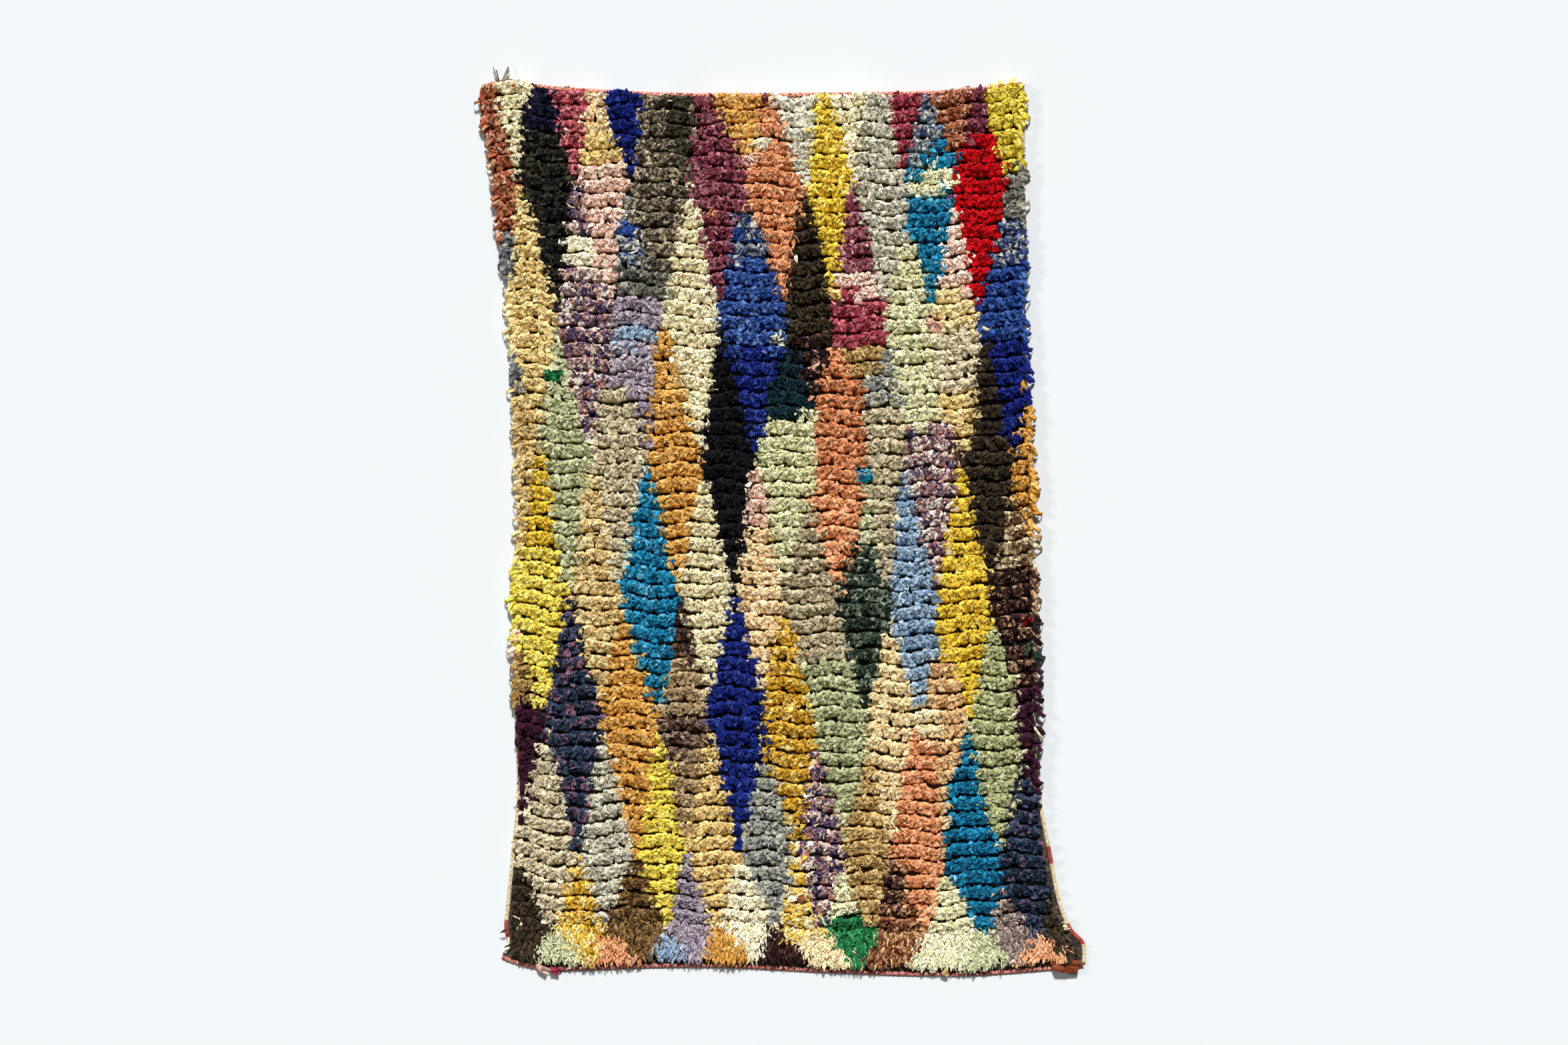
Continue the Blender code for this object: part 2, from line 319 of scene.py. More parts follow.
def rag_cloth(name, shades, blotches):
    """Worn cotton rag: its tone picks a shade, wear lightens patches, painted shade darkens the creases,
    and creases and threads stand out.
    """
    material, tree, shader = new_material(f"rag_{name}")
    tone = add_node(tree, "ShaderNodeAttribute", attribute_name="tone")
    place = add_node(tree, "ShaderNodeTexCoord")
    # Crumpled rag breaks into facets about 9 mm wide, and each facet has worn to its own shade.
    facets = add_node(tree, "ShaderNodeTexVoronoi", {
        "Vector": place.outputs["Object"], "Scale": 1 / (9 * MM)})
    wear_shift = add_node(tree, "ShaderNodeMapRange", {
        "Value": facets.outputs["Color"], "To Min": -blotches, "To Max": blotches})
    worn_tone = add_node(tree, "ShaderNodeMath", {
        0: tone.outputs["Fac"], 1: wear_shift.outputs["Result"]}, operation="ADD", use_clamp=True)
    ramp = add_node(tree, "ShaderNodeValToRGB", {"Fac": worn_tone.outputs["Value"]})
    fill_ramp(ramp.color_ramp, list(zip(SHADE_STOPS, shades)))
    # Shade is painted into the creases between facets: the colour there is multiplied towards a brown,
    # so they are browner and darker.
    crease_shade = add_node(tree, "ShaderNodeMapRange", {
        "Value": facets.outputs["Distance"], "From Min": 0.5, "From Max": 0.85, "To Max": 0.45})
    crease_shaded = add_node(tree, "ShaderNodeMix", {
        "Factor": crease_shade.outputs["Result"], 6: ramp.outputs["Color"], 7: colour("#86745F")},
        data_type="RGBA", blend_type="MULTIPLY")
    # The creases are sunk too. Threads are drawn 2.5 mm apart, coarser than real ones, so
    # that they show.
    threads = add_node(tree, "ShaderNodeTexNoise", {
        "Vector": place.outputs["Object"], "Scale": 1 / (2.5 * MM), "Detail": 2.0})
    crease_bump = add_node(tree, "ShaderNodeBump", {
        "Height": facets.outputs["Distance"], "Strength": 1.0, "Distance": 2.5 * MM}, invert=True)
    thread_bump = add_node(tree, "ShaderNodeBump", {
        "Height": threads.outputs["Fac"], "Normal": crease_bump.outputs["Normal"],
        "Strength": 0.8, "Distance": 1.0 * MM})
    tree.links.new(crease_shaded.outputs[2], shader.inputs["Base Color"])
    tree.links.new(thread_bump.outputs["Normal"], shader.inputs["Normal"])
    shader.inputs["Roughness"].default_value = 0.92
    shader.inputs["Specular IOR Level"].default_value = 0.1
    shader.inputs["Sheen Weight"].default_value = 0.02
    shader.inputs["Sheen Roughness"].default_value = 0.6
    return material


rag_materials = {name: rag_cloth(name, shades, blotches_of(spread))
                 for name, (shades, spread) in CLOTHS.items()}
print(len(rag_materials), "rag cloths")

# %% [markdown]
# The pattern is the maker's own: free lozenges side by side, each knotted until its cloth ran out.
# It is charted, as a weaver would, one line for each lozenge. A line names the cloth and how
# faded it is, and gives three rows of the lozenge, its top, its widest and its foot, with the knots
# at its left and right there. Rows count down from the top, knots to the right of the middle line.
# Where a cloth ran short, the maker put a few knots of another in its place. These scraps are
# charted the same way and lie on top of the lozenges.

# %% Lozenge chart
LOZENGES = (
    # cloth, tone, top row, left, right, widest row, left, right, foot row, left, right
    ("rust", 0.45, 0, -94, -87, 6, -94, -80, 10.5, -94, -82),
    ("ivory", 0.5, 0, -87, -75, 1, -86, -77, 6.5, -81, -79),
    ("straw", 0.55, 7, -79, -77, 15.5, -83, -68, 23.3, -76, -74),
    ("navy_black", 0.5, 0, -75, -71, 2, -78, -67, 3.2, -78, -68),
    ("black_olive", 0.6, 3.2, -78, -66, 6, -79, -64, 15.5, -69, -67),
    ("raspberry", 0.75, 0, -72, -59, 1, -69, -58, 6.2, -64, -62),
    ("peach", 0.6, 0, -59, -54, 2, -60, -52, 3, -60, -51),
    ("straw", 0.4, 3, -60, -50, 4, -61, -48, 5.2, -61, -47),
    ("pink", 0.6, 5.2, -61, -47, 7, -61, -46, 14.4, -53, -51),
    ("ultramarine", 0.45, 0, -54, -41, 2.4, -53, -43, 6.2, -47, -45),
    ("taupe_olive", 0.5, 0, -41, -26, 7, -46, -28, 12.4, -42, -35),
    ("grey", 0.4, 12, -50, -36, 13, -50, -35, 14.5, -50, -35),
    ("blue_grey", 0.45, 7.8, -49, -45, 8.5, -49, -45, 9.4, -49, -45),
    ("royal_blue", 0.4, 9.4, -50, -43, 10, -50, -42, 10.2, -50, -42),
    ("blue_print", 0.6, 10.2, -51, -41, 11, -51, -41, 12, -50, -42),
    ("violet_print", 0.45, 6.8, -63, -60, 9, -64, -58, 10.3, -64, -59),
    ("ivory", 0.85, 10.3, -66, -58, 11, -66, -58, 12.1, -65, -57),
    ("violet_print", 0.65, 12.1, -66, -56, 15.8, -68, -51, 24.2, -60, -58),
    ("lilac", 0.35, 14.3, -50, -36, 15.5, -50, -36, 16.5, -49, -37),
    ("denim", 0.65, 16.5, -49, -38, 17, -49, -38, 17.9, -50, -38),
    ("lilac", 0.45, 17.9, -51, -38, 19.5, -50, -39, 21.5, -48, -40),
    ("lilac", 0.1, 21.5, -45, -40, 22.5, -44, -40, 24.4, -43, -41),
    ("ivory", 0.45, 7, -29, -28, 16.3, -35, -19, 25, -26, -24),
    ("plum", 0.45, 0.3, -26, -22, 6.5, -28, -11.5, 15, -20, -19),
    ("ochre", 0.6, 0, -21, -7, 3, -17, -7, 5.4, -12, -10),
    ("plum", 0.1, 0, -7, -3, 0.5, -7, -3, 1.2, -6, -4),
    ("coral", 0.5, 1.2, -7, -2, 7, -11, 5, 15.2, -1, 0),
    ("blue_print", 0.5, 8.7, -15, -8, 9.2, -15, -8, 9.6, -15, -8),
    ("royal_blue", 0.15, 9.4, -15, -7, 10, -15, -7, 10.5, -15, -7),
    ("blue_print", 0.55, 10.3, -15, -5, 11.3, -15, -3, 12.1, -15, -4),
    ("royal_blue", 0.5, 12.1, -16, -4, 16, -20, 1, 18.2, -17, 1),
    ("ultramarine", 0.6, 18.2, -17, 0, 20, -15, -4, 25.5, -8, -7),
    ("silver_sage", 0.6, 0, -4, 10, 1.5, -3, 10, 7.2, 6, 7),
    ("espresso", 0.45, 7.5, 6, 7, 16.5, 1, 15, 17.4, 1, 15),
    ("dark_multi", 0.2, 17.4, 3, 15, 18, 4, 14, 20.6, 7, 9),
    ("mustard", 0.6, 0, 10, 13, 6.3, 8, 21, 14, 14, 15),
    ("ivory", 0.55, 0, 13, 25, 1.5, 15, 25, 6.1, 20, 21),
    ("silver_sage", 0.35, 0, 25, 31, 6.3, 21, 36, 14.6, 30, 32),
    ("raspberry", 0.5, 0, 31, 42, 1.5, 32, 41, 5.2, 35, 37),
    ("plum", 0.6, 7, 19, 21, 11.5, 17, 26, 13.2, 15, 28),
    ("raspberry", 0.6, 14.2, 15, 29, 15.5, 15, 30, 17.6, 15, 30),
    ("blue_print", 0.6, 0.6, 42, 44, 3.7, 39, 49, 5.2, 38, 41),
    ("rust", 0.5, 0, 43, 56, 1, 43, 56, 4.9, 51, 52),
    ("plum", 0.3, 0.3, 57, 60, 2.6, 56, 63, 3.8, 54, 57),
    ("turquoise", 0.5, 4.2, 43, 51, 7, 38, 51, 15.3, 44, 45),
    ("red", 0.5, 3.2, 58, 63, 6.8, 51, 67, 15, 57, 58),
    ("lemon", 0.3, -0.5, 60, 80, 2.6, 61, 78, 5.8, 65.5, 69),
    ("grey", 0.6, 3.4, 76, 80, 7, 66, 78, 9, 66, 78),
    ("blue_print", 0.35, 9, 65, 78, 10.5, 64, 78, 12.1, 63, 78),
    ("royal_blue", 0.35, 12.1, 63, 78, 15.5, 58, 78, 17.2, 60, 78),
    ("ultramarine", 0.45, 17.2, 61, 78, 18, 62, 76, 25, 68, 70),
    ("pink", 0.85, 8.8, 51, 53, 12.5, 48, 57, 14.2, 45, 56),
    ("straw", 0.75, 14.2, 45, 57, 15.5, 45, 58, 17, 45, 58),
    ("stone", 0.8, 17, 45, 58, 19, 45, 58, 21, 47, 58),
    ("straw", 0.55, 21, 48, 58, 22, 50, 58, 24.6, 52, 57),
    ("pale_sage", 0.7, 10.5, 37, 39, 16, 30, 45, 23.5, 37, 44),
    ("sand", 0.35, 17.5, 18, 31, 18.2, 17, 31, 19.8, 20, 29),
    ("blue_grey", 0.5, 17.8, 31, 34, 20, 27, 35, 22.3, 28, 33),
    ("coral", 0.38, 17.6, 16, 17, 24, 9.5, 24, 28, 10, 24),
    ("coral", 0.55, 28, 8, 24, 29, 8, 24, 34.7, 16.5, 17.5),
    ("dark_teal", 0.5, 17.9, 1, 3, 21.3, -5, 6, 22.4, -5, 8),
    ("pale_sage", 0.55, 22.5, -5, 9, 25.7, -8, 10, 34.2, 0, 1),
    ("pink", 0.5, 26.0, -10, -7, 28.8, -11, -3, 30.4, -11, -4),
    ("black_olive", 0.2, 16.5, -20, -19, 25, -24, -8.5, 34.4, -15.5, -14.5),
    ("ochre", 0.5, 16.5, -37, -35, 25.3, -41, -25, 34.4, -33, -31.5),
    ("turquoise", 0.5, 25.5, -41, -40, 31, -45, -36, 35, -48, -31.5),
    ("turquoise", 0.5, 33.5, -49, -33, 35, -50, -31, 42.6, -38, -37),
    ("stone", 0.5, 20.5, -54, -45, 23.7, -57, -41, 33.8, -50, -48),
    ("sage", 0.6, 17, -68, -67, 24.5, -72, -58.5, 34.2, -65, -64),
    ("blue_grey", 0.15, 10.4, -90, -81, 13, -90, -80, 15, -90, -83),
    ("blue_grey", 0.15, 16.8, -90, -82, 19, -90, -78, 20.6, -90, -77),
    ("sand", 0.6, 20.6, -90, -77, 25, -90, -74, 34.2, -90, -81),
    ("mustard", 0.4, 25.3, -73, -72, 29, -75, -69, 32, -77, -69),
    ("lemon", 0.5, 31.5, -77, -69, 35, -83, -65.5, 43, -73, -72),
    ("pink", 0.35, 35.5, -90, -82, 37.5, -90, -79, 38.8, -90, -78),
    ("sand", 0.1, 38.8, -90, -77, 40.5, -90, -75, 42, -90, -76),
    ("aubergine", 0.4, 42, -90, -75, 43.3, -90, -72, 51.5, -90, -79),
    ("sand", 0.75, 26.5, -58, -57, 35.5, -63, -48, 41.6, -56, -54),
    ("ochre", 0.45, 36, -49, -47, 43, -55, -38, 52.6, -44.5, -43),
    ("slate", 0.5, 34.5, -65, -64, 44, -71, -54, 51.8, -62.5, -61),
    ("stone", 0.6, 44.3, -73, -70, 52.2, -81, -62, 57, -72, -68),
    ("silver_sage", 0.25, 44.4, -55, -53, 52, -61, -45, 57.4, -55, -53),
    ("espresso", 0.4, 53, -90, -78, 57.2, -90, -70, 60, -90, -76),
    ("gold", 0.5, 52.6, -62, -61, 57.3, -67, -54, 59.7, -59, -57),
    ("sage", 0.7, 57.5, -70, -68, 58.7, -74, -64, 61, -76, -55),
    ("coral", 0.45, 57.7, -54, -52, 58.7, -56, -46, 61, -57, -38),
    ("olive_brown", 0.35, 52.5, -44.5, -43, 57.5, -54, -35, 59.5, -44, -40),
    ("lemon", 0.4, 44.6, -38, -37, 51.8, -44, -30, 57.4, -36, -34),
    ("lilac", 0.25, 52.4, -29.5, -28, 57.2, -34, -22, 60.2, -27, -25),
    ("denim", 0.5, 57.8, -36, -34, 59, -38, -29, 61, -38, -24),
    ("ochre", 0.35, 57, -20, -18, 58.5, -23, -12, 61, -25, -6),
    ("ivory", 0.65, 53.3, -13.5, -12, 57, -20, -3, 59.8, -9, -7),
    ("maroon_brown", 0.2, 35, -31, -30, 38, -33, -27, 39.6, -33, -27),
    ("taupe", 0.5, 39.4, -34, -26, 42.4, -37, -23, 43.3, -37, -23),
    ("maroon_brown", 0.5, 43.3, -37, -23, 44.3, -37, -23, 45.6, -35, -24),
    ("taupe", 0.45, 45.6, -35, -24, 47, -34, -24, 51.3, -30, -28.5),
    ("ivory", 0.3, 27, -24.5, -23, 34.3, -31, -15, 41.9, -23.5, -22.5),
    ("straw", 0.35, 44, -22.5, -21.5, 52, -29, -13.5, 57.2, -22, -20),
    ("ultramarine", 0.5, 35.2, -14, -13, 42.8, -23, -6, 51.7, -14.5, -13),
    ("peach", 0.5, 29.8, -10, -5, 34.5, -14, -1.5, 41.5, -7, -6),
    ("gold", 0.35, 36, 0.5, 1.5, 43, -6, 9, 52, 2, 4),
    ("gold", 0.8, 51, 2, 4, 55, 2, 7, 58.2, -3, 12),
    ("stone", 0.3, 29, 6, 10, 35, 0, 16, 39.6, 5, 19),
    ("sage", 0.45, 39.4, 5, 21, 43, 8, 25, 51.5, 17, 18),
    ("forest", 0.4, 31.2, 22, 23, 35, 16, 32, 42.9, 24.5, 25.5),
    ("sage", 0.8, 27.2, 23, 26, 29, 24, 27, 31.5, 24, 27),
    ("stone", 0.45, 22.3, 25, 33, 26, 25, 34.5, 34, 30.5, 32),
    ("violet_print", 0.72, 23.4, 39, 50, 27, 37, 51, 34, 45.5, 46.5),
    ("denim", 0.55, 26.5, 36, 37, 34.6, 32, 46, 43.3, 40, 41),
    ("mustard", 0.5, 26, 53.5, 54.5, 35.5, 46, 62, 42.8, 55, 56),
    ("espresso", 0.4, 17.4, 60, 61, 26, 54.5, 68.5, 34.4, 61.5, 62.5),
    ("ochre", 0.35, 19, 74, 80, 26, 68, 80, 33, 76, 80),
    ("rust_print", 0.5, 28.3, 68, 70, 30.8, 66, 74, 33, 65, 76),
    ("dark_multi", 0.4, 32.8, 65, 80, 35.3, 62, 80, 40.5, 69, 80),
    ("aubergine", 0.4, 39.8, 72, 80, 43.5, 70, 80, 53, 80, 84),
    ("pale_sage", 0.1, 36.8, 62, 63, 44.5, 56, 71, 52.6, 64.5, 65.5),
    ("cream_peach", 0.4, 37, 31, 32, 43, 25, 40, 51.7, 31.5, 32.5),
    ("cream_peach", 0.7, 43, 38, 52, 43.6, 38, 55, 44.2, 38, 52),
    ("peach", 0.12, 39, 45, 52, 42.6, 42, 55, 47.5, 48, 51),
    ("peach", 0.1, 47, 47, 51, 49.6, 45, 49, 52.6, 46, 48),
    ("coral", 0.5, 44.2, 38, 43, 51, 32.5, 49, 57.7, 42, 43),
    ("turquoise", 0.35, 44, 54.5, 55.5, 49, 50, 60, 53, 48.5, 65),
    ("turquoise", 0.3, 51, 48, 64, 53, 48.5, 65, 57.8, 59, 61),
    ("violet_print", 0.55, 45.3, 10, 11, 51.8, 5, 18, 57.3, 11.5, 12.5),
    ("sand", 0.4, 46.3, 25, 26, 51, 18, 31, 57.6, 23, 27),
    ("blue_grey", 0.45, 46, -6, -5, 51, -12, 4, 57.2, -3.5, -2.5),
    ("pale_sage", 0.75, 54, 16, 18, 56, 14.5, 22, 57.6, 14, 20),
    ("emerald", 0.5, 57, 12, 28, 57.5, 13, 29, 60.1, 21.5, 22.5),
    ("cream_peach", 0.5, 57.9, 1, 14, 59, 5, 18, 61, 9, 24),
    ("dark_multi", 0.15, 57, -3, -2, 59.2, -8, 8, 61, -7, 10),
    ("brown_mix", 0.4, 53.2, 32, 33, 57.4, 29.5, 41, 61, 24, 36),
    ("pale_sage", 0.8, 53.6, 47, 48, 57.4, 44, 58, 61, 35, 53),
    ("sage", 0.65, 57.4, 60, 61, 58.7, 55, 65, 61, 53, 68),
    ("lilac_mix", 0.3, 55, 65, 66, 57.8, 64, 74, 59.8, 68, 70),
    ("slate", 0.35, 46.8, 71, 72, 53, 65.5, 82, 58, 75, 77),
    ("espresso", 0.5, 53.6, 81, 95, 56.5, 77, 95, 60.5, 86, 95),
    ("coral", 0.6, 57.8, 76, 77, 59.4, 71, 86, 61, 68, 80),
)
SCRAPS = (
    # the same columns
    ("ivory", 0.7, 3.7, -9, -3, 4, -9, -3, 4.5, -9, -4),
    ("pink", 0.5, 4.8, -12, -8, 5.1, -12, -7, 5.5, -12, -8),
    ("ochre", 0.8, 13.8, 13, 16, 14.5, 13, 17, 15.2, 13, 16),
    ("pink", 0.8, 13.2, 15, 28, 13.8, 15, 29, 14.2, 15, 29),
    ("pale_sage", 0.8, 6.1, 43, 52, 6.5, 41, 53, 7.0, 42, 52),
    ("pale_sage", 0.7, 7.0, 38, 48, 7.4, 38, 47, 7.9, 39, 46),
    ("ivory", 0.7, 5.3, 45, 47, 5.6, 44, 47, 5.9, 45, 47),
    ("ivory", 0.8, 17.2, -3, 0, 17.6, -3, 1, 18.0, -3, 0),
    ("lemon", 0.5, 19.5, -12, -10, 19.8, -13, -10, 20.1, -12, -10),
    ("pink", 0.1, 16.3, 43, 46, 16.8, 43, 47, 17.3, 43, 46),
    ("coral", 0.4, 9.0, -22, -20, 9.4, -22, -20, 9.6, -22, -20),
    ("ivory", 0.6, 57.0, -78.5, -77.5, 57.2, -78.5, -77.5, 57.3, -78.5, -77.5),
    ("dark_multi", 0.7, 52.8, 31, 34, 55, 31, 36, 57, 31, 36),
    ("red", 0.1, 36.4, 72, 74, 36.6, 72, 74, 36.8, 72, 74),
    ("forest", 0.3, 38.3, 72, 75, 38.7, 72, 76, 39.1, 72, 75),
    ("turquoise", 0.5, 34.4, 76, 78, 34.8, 76, 79, 35.2, 76, 78),
    ("black_olive", 0.95, 0, -36, -26, 2, -35, -27, 6.3, -31, -29),
    ("emerald", 0.4, 19.6, -71, -66, 20, -71, -66, 20.4, -71, -66),
    ("turquoise", 0.7, 26, 23, 26, 26.5, 23, 26, 27, 23, 26),
)
CHART = LOZENGES + SCRAPS
outlines = np.array([line[2:] for line in CHART], float).reshape(-1, 3, 3)
print(len(LOZENGES), "lozenges and", len(SCRAPS), "scraps in the chart")

# %% [markdown]
# Each knot takes the lozenge that it lies deepest in, or else the nearest one in its row. How
# ragged the borders look depends on that choice, so a knot asks for its place with a small error.

# %% Which lozenge a knot belongs to
FAR = 1e3                      # knots, further off than any lozenge
ROW_STEP = 40.0                # knots that a row above or below a lozenge counts as
SCRAP_PULL = 100.0             # knots by which a scrap goes before the lozenges


def lozenge_at(knots, rows):
    """Index of the lozenge at each of these knots and rows of the chart."""
    distance = np.full((len(outlines), len(knots)), FAR)
    for k, (top, widest, foot) in enumerate(outlines):
        stations = (top[0], widest[0], foot[0])
        left = np.interp(rows, stations, (top[1], widest[1], foot[1]))
        right = np.interp(rows, stations, (top[2], widest[2], foot[2]))
        outside = np.maximum(np.maximum(stations[0] - rows, rows - stations[2]), 0.0)
        distance[k] = np.abs(knots - (left + right) / 2) - (right - left) / 2 + ROW_STEP * outside
    # A scrap that the knot lies in goes before every lozenge.
    scraps = distance[-len(SCRAPS):]
    scraps -= SCRAP_PULL * (scraps < 0.0)
    return distance.argmin(axis=0)


middle = lozenge_at(np.zeros(ROWS), np.arange(ROWS, dtype=float))
print("down the middle line:", ", ".join(dict.fromkeys(CHART[k][0] for k in middle)))

# %% [markdown]
# A rag strip stands up from its knot, leans over at once and ends bluntly just where the next row
# begins, so that the rows look like pillows with a dark line between them. It is modelled from a
# three-cornered ring at the knot, its ridge up like a folded ribbon's, which is pushed out station
# by station, and widened and turned at each. Its torn tips, which curl up out of the fold in every
# direction, are modelled on their own. A few of each are enough, because every copy is leaned and
# crumpled differently. Finer strips make the shag at the bottom end.

# %% Rag strips
FOLDS = {
    # name: stations of (fall towards the bottom end, height, width, thickness, turn), in mm and degrees
    "flop": ((0, 4, 12, 8, 0), (2, 21, 18, 9, 4), (10, 28, 22, 10, -4), (25, 24, 22, 9, 4),
             (30, 6, 18, 7, 0)),
    "curl": ((0, 4, 12, 8, 0), (2, 22, 18, 9, -6), (9, 29, 20, 10, -8), (24, 24, 20, 9, 5),
             (29, 7, 17, 7, 6)),
    "pleat": ((0, 4, 12, 8, 0), (2, 21, 20, 9, 0), (11, 28, 24, 10, 6), (26, 24, 24, 9, -6),
              (31, 6, 20, 7, 0)),
    "twist": ((0, 4, 12, 8, 0), (2, 22, 18, 9, 6), (10, 29, 20, 10, 9), (26, 25, 20, 10, 4),
              (30, 7, 17, 7, -5)),
}
TIPS = {
    "leaf": ((0, 22, 6, 4, 0), (5, 36, 14, 4, 25), (16, 28, 4, 3, -15)),
    "lap": ((0, 22, 7, 4, 0), (3, 35, 13, 4, -30), (13, 31, 7, 3, -50)),
    "hook": ((0, 22, 6, 4, 0), (6, 37, 10, 5, 45), (13, 25, 8, 4, 75)),
    "point": ((0, 22, 6, 4, 0), (4, 34, 11, 5, 0), (17, 30, 3, 3, 30)),
    "flag": ((0, 22, 7, 4, 0), (3, 35, 14, 4, -35), (13, 27, 12, 2, -15)),
    "roll": ((0, 22, 6, 4, 0), (5, 34, 9, 7, 30), (14, 27, 7, 5, 75)),
}
SHAG = {
    "thread": ((0, 2, 3, 3, 0), (4, 12, 4, 3, 15), (12, 22, 5, 4, -10), (22, 24, 5, 4, 15),
               (32, 18, 3, 2, 0)),
    "lick": ((0, 2, 3, 3, 0), (5, 12, 5, 3, -15), (13, 20, 6, 4, 15), (23, 23, 6, 4, -10),
             (31, 20, 4, 2, 0)),
    "spike": ((0, 2, 3, 3, 0), (3, 12, 4, 3, 0), (8, 22, 5, 4, 25), (18, 27, 5, 4, 50),
              (28, 26, 3, 2, 70)),
}
CORNERS = 3


def model_strip(name, stations):
    """Models one strip. Returns its points by ring and corner, its faces' corners in a row, and how
    many corners each face has."""
    bpy.ops.object.select_all(action="DESELECT")
    fall, height, width, thick, _ = (value * MM for value in stations[0])
    bpy.ops.mesh.primitive_circle_add(vertices=CORNERS, radius=0.5, fill_type="NGON", location=(0, 0, 0),
                                      rotation=(math.pi / 2, 0, 0))
    obj = bpy.context.object
    obj.name = name
    bpy.ops.object.transform_apply(location=True, rotation=True, scale=True)
    bpy.ops.object.mode_set(mode="EDIT")
    bpy.ops.mesh.select_all(action="SELECT")
    bpy.ops.transform.resize(value=(width, 1.0, thick), center_override=(0, 0, 0))
    bpy.ops.transform.translate(value=(0.0, -fall, height))
    for before, station in zip(stations, stations[1:]):
        old = [value * MM for value in before]
        new = [value * MM for value in station]
        middle = (0.0, -new[0], new[1])
        bpy.ops.mesh.extrude_region_move(
            TRANSFORM_OT_translate={"value": (0.0, old[0] - new[0], new[1] - old[1])})
        bpy.ops.transform.resize(value=(new[2] / old[2], 1.0, new[3] / old[3]), center_override=middle)
        bpy.ops.transform.rotate(value=math.radians(station[4] - before[4]), orient_axis="Y",
                                 center_override=middle)
    bpy.ops.mesh.select_all(action="SELECT")
    bpy.ops.mesh.normals_make_consistent(inside=False)
    bpy.ops.object.mode_set(mode="OBJECT")
    points = np.array([v.co for v in obj.data.vertices])
    by_ring = np.argsort(-points[:, 1].round(5), kind="stable")
    corners = np.argsort(by_ring)[np.concatenate([list(face.vertices) for face in obj.data.polygons])]
    points = points[by_ring].reshape(-1, CORNERS, 3)
    counts = np.array([len(face.vertices) for face in obj.data.polygons])
    mesh = obj.data
    bpy.data.objects.remove(obj)
    bpy.data.meshes.remove(mesh)
    return points, corners, counts


rag_folds = [model_strip(name, stations) for name, stations in FOLDS.items()]
rag_tips = [model_strip(name, stations) for name, stations in TIPS.items()]
shag_strips = [model_strip(name, stations) for name, stations in SHAG.items()]
print("folds of", len(rag_folds[0][2]), "faces, tips of", len(rag_tips[0][2]), "faces")

# %% [markdown]
# Rows of knots follow the sagging top end at the top and the bottom end at the foot, and run
# from selvedge to selvedge. They wave a little, since the weaver beats each row down by hand,
# and the next row is laid along it. Towards the foot the pile draws in from the selvedges.

# %% Knots
WAVES = (
    # period in mm, share of the waviness, drift from row to row in radians
    (29, 0.2, 2.5),
    (120, 0.4, 0.5),
    (290, 0.4, 0.4),
)
KNOT_SCATTER = 0.18            # of the spacing
FOOT_FROM = 0.75               # share of the length where the pile starts to draw in
FOOT_BARE = 18 * MM            # how far it has drawn in at the bottom end
CHART_TOP = 108.2 * CM         # where row 0 of the chart is, up from the rug's middle


def inside_point(u, v):
    """The place in the rug at share u across it and share v down it."""
    left = at_shares(left_edge, v)
    right = at_shares(right_edge, v)
    top = at_shares(top_edge, u)
    bottom = at_shares(bottom_edge, u)
    u = u[:, None]
    v = v[:, None]
    across = left * (1 - u) + right * u
    down = top * (1 - v) + bottom * v
    corners = (top_edge[0] * (1 - u) + top_edge[-1] * u) * (1 - v) + (
        bottom_edge[0] * (1 - u) + bottom_edge[-1] * u) * v
    return across + down - corners


def knot_rows(shares, spacing, margin, waviness, reach_down):
    """Places of the knots of rows at these shares of the rug's length, and where the chart has them."""
    places = []
    periods, wave_shares, drifts = np.array(WAVES).T
    phases = dice.random(len(WAVES)) * 2 * math.pi
    for v in shares:
        width = at_shares(right_edge, [v])[0, 0] - at_shares(left_edge, [v])[0, 0]
        bare = margin + FOOT_BARE * max(0.0, v - FOOT_FROM) / (1 - FOOT_FROM)
        across = int((width - 2 * bare) / spacing)
        u = (np.arange(across) + 0.5) / across * (1 - 2 * bare / width) + bare / width
        u += dice.normal(0.0, KNOT_SCATTER * spacing / width, across)
        row = inside_point(u, np.full(across, v))
        # The long waves of a row are nearly those of the row before, so that the rows stay close.
        phases += dice.normal(0.0, drifts)
        for period, share, phase in zip(periods * MM, wave_shares, phases):
            row[:, 1] += waviness * share * np.sin(row[:, 0] / period * 2 * math.pi + phase)
        places.append(row)
    places = np.vstack(places)
    return (places, *chart_place(places, reach_down))


def chart_place(places, reach_down):
    """The knots and rows in the chart of what shows just below these places."""
    shown = places - to_frame - np.array([0.0, reach_down])
    return shown[:, 0] / KNOT, (CHART_TOP - shown[:, 1]) / ROW


# Where the pile starts, turns to shag and ends, as shares of the rug's length.
PILE_TOP = (BAND - 2 * MM) / RUG_LENGTH
SHAG_TOP = 1.0 - (SHAG_ROWS * ROW + BAND) / RUG_LENGTH
PILE_BOTTOM = 1.0 - (BAND + 36 * MM) / RUG_LENGTH
rag_places, rag_knots, rag_rows = knot_rows(
    np.linspace(PILE_TOP, SHAG_TOP, ROWS - SHAG_ROWS),
    spacing=KNOT, margin=13 * MM, waviness=10 * MM, reach_down=16 * MM)
shag_places, shag_knots, shag_rows = knot_rows(
    np.linspace(SHAG_TOP + 0.6 * ROW / RUG_LENGTH, PILE_BOTTOM, 2 * SHAG_ROWS + 1),
    spacing=0.55 * KNOT, margin=16 * MM, waviness=9 * MM, reach_down=18 * MM)
print(len(rag_places), "rag knots and", len(shag_places), "shag knots")

# %% [markdown]
# Thousands of strips as objects of their own would drown the scene, so each cloth's strips are
# joined into one mesh straight from arrays: the modelled points are copied once for each knot, and
# every copy is stretched, rolled, leaned and crumpled by its own throw of the dice.

